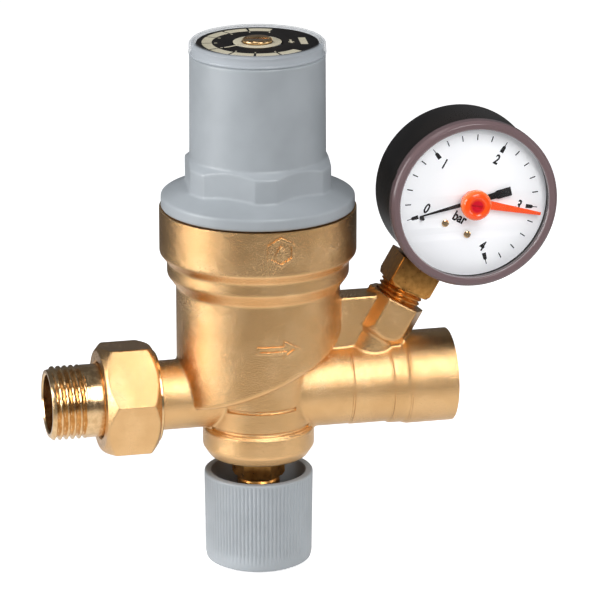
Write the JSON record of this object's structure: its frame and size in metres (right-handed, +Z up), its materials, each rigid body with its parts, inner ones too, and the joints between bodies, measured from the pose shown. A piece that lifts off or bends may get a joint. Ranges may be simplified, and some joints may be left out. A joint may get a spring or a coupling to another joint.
{
  "type": "pressure reducing valve",
  "caption": "Brass pressure reducing valve with a grey spring cover, inlet union, outlet socket, shut-off knob underneath and a dial pressure gauge on a slanted stem.",
  "frame": {"origin": "where the axis of the pipe run crosses the valve's upright axis", "axes": "+X along the flow towards the outlet, +Z up towards the setting screw, -Y the way the gauge faces"},
  "size_m": [0.1437, 0.0556, 0.1535],
  "materials": {
    "cast_brass": "satin, shot-blasted casting with machined bands",
    "turned_brass": "turned, semi-gloss",
    "stainless_steel": "turned, satin",
    "spring_steel": "drawn wire, satin",
    "black_rubber": "matte",
    "fibre_gasket": "matte pressed fibre",
    "grey_plastic": "satin moulded",
    "black_plastic": "glossy moulded",
    "white_acetal": "satin moulded",
    "clear_plastic": "glossy, clear",
    "dial_white": "painted, satin",
    "label_black": "printed, satin",
    "cream_plastic": "satin",
    "orange_plastic": "glossy, translucent",
    "needle_black": "painted, satin"
  },
  "bodies": {
    "valve": {"valve_body": "cast_brass", "union_tailpiece": "cast_brass", "union_gasket": "fibre_gasket", "spring_cover": "grey_plastic", "clear_lid": "clear_plastic", "setting_scale": "label_black", "diaphragm": "black_rubber", "cartridge_body": "white_acetal", "cartridge_o_ring": "black_rubber", "strainer": "stainless_steel", "seat_ring": "stainless_steel", "piston_sleeve": "stainless_steel", "check_valve_housing": "white_acetal", "check_valve_guide": "white_acetal", "check_valve_spring": "spring_steel", "gland_nut": "cast_brass", "gland_o_ring": "black_rubber", "gland_washer": "fibre_gasket", "gauge_case": "black_plastic", "gauge_window": "clear_plastic", "gauge_dial": "dial_white", "gauge_stop_pin": "needle_black", "dial_screw_left": "turned_brass", "dial_screw_right": "turned_brass", "gauge_socket": "turned_brass", "bourdon_tube": "turned_brass", "bourdon_tip": "turned_brass", "movement_back_plate": "turned_brass", "movement_front_plate": "turned_brass", "movement_link": "turned_brass"},
    "union_nut": {"union_nut": "cast_brass"},
    "setting_screw": {"setting_screw": "turned_brass", "setting_pointer": "cream_plastic"},
    "spring_plate": {"spring_plate": "stainless_steel", "setting_spring": "spring_steel"},
    "obturator": {"obturator": "turned_brass", "obturator_gasket": "black_rubber", "piston_o_ring": "black_rubber", "diaphragm_upper_disc": "stainless_steel", "diaphragm_lower_disc": "stainless_steel", "diaphragm_nut": "stainless_steel"},
    "check_disc": {"check_valve_disc": "white_acetal", "check_valve_gasket": "black_rubber"},
    "shutoff_knob": {"control_knob": "grey_plastic", "knob_screw": "stainless_steel", "shutoff_spindle": "turned_brass", "spindle_collar": "turned_brass"},
    "shutoff_disc": {"shutoff_carrier": "turned_brass", "shutoff_gasket": "black_rubber"},
    "needle": {"gauge_pointer": "needle_black", "pinion_arbor": "stainless_steel"},
    "sector": {"sector_gear": "turned_brass"},
    "limit_mark": {"limit_pointer": "orange_plastic"}
  },
  "joints": [
    {"name": "setting_screw_turn", "type": "hinge", "parent": "valve", "child": "setting_screw", "pos_m": [0, 0, 0.0945], "axis": [0, 0, -1], "range_deg": [-60.2, 240.2]},
    {"name": "spring_plate_travel", "type": "slide", "parent": "valve", "child": "spring_plate", "axis": [0, 0, -1], "range_m": [-0.001, 0.004], "deforming": ["setting_spring"]},
    {"name": "obturator_lift", "type": "slide", "parent": "valve", "child": "obturator", "axis": [0, 0, 1], "range_m": [0, 0.002], "stiffness_N_per_m": 4000, "springref_m": -0.003, "deforming": ["diaphragm", "setting_spring"]},
    {"name": "check_disc_lift", "type": "slide", "parent": "valve", "child": "check_disc", "axis": [1, 0, 0], "range_m": [0, 0.0025], "stiffness_N_per_m": 120, "springref_m": -0.002, "deforming": ["check_valve_spring"]},
    {"name": "shutoff_knob_turn", "type": "hinge", "parent": "valve", "child": "shutoff_knob", "pos_m": [0, 0, -0.03], "axis": [0, 0, 1], "range_deg": [0, 1368.5]},
    {"name": "shutoff_disc_lift", "type": "slide", "parent": "valve", "child": "shutoff_disc", "axis": [0, 0, 1], "range_m": [0, 0.0038]},
    {"name": "gauge_sector_swing", "type": "hinge", "parent": "valve", "child": "sector", "pos_m": [0.0513, 0, 0.04283], "axis": [0, -1, 0], "range_deg": [0, 54.4]},
    {"name": "gauge_needle_turn", "type": "hinge", "parent": "valve", "child": "needle", "pos_m": [0.0585, 0, 0.0553], "axis": [0, 1, 0], "range_deg": [0, 272.1]},
    {"name": "limit_mark_turn", "type": "hinge", "parent": "valve", "child": "limit_mark", "pos_m": [0.0585, 0, 0.0553], "axis": [0, 1, 0], "range_deg": [-206.7, 63.3]},
    {"name": "union_nut_turn", "type": "hinge", "parent": "valve", "child": "union_nut", "pos_m": [-0.038, 0, 0], "axis": [1, 0, 0], "continuous": true}
  ],
  "couplings": [
    {"joint": "setting_screw_turn", "follows": "spring_plate_travel", "rad_per_m": 1047.2},
    {"joint": "shutoff_knob_turn", "follows": "shutoff_disc_lift", "rad_per_m": 6283.2},
    {"joint": "gauge_needle_turn", "follows": "gauge_sector_swing", "ratio": 5}
  ]
}
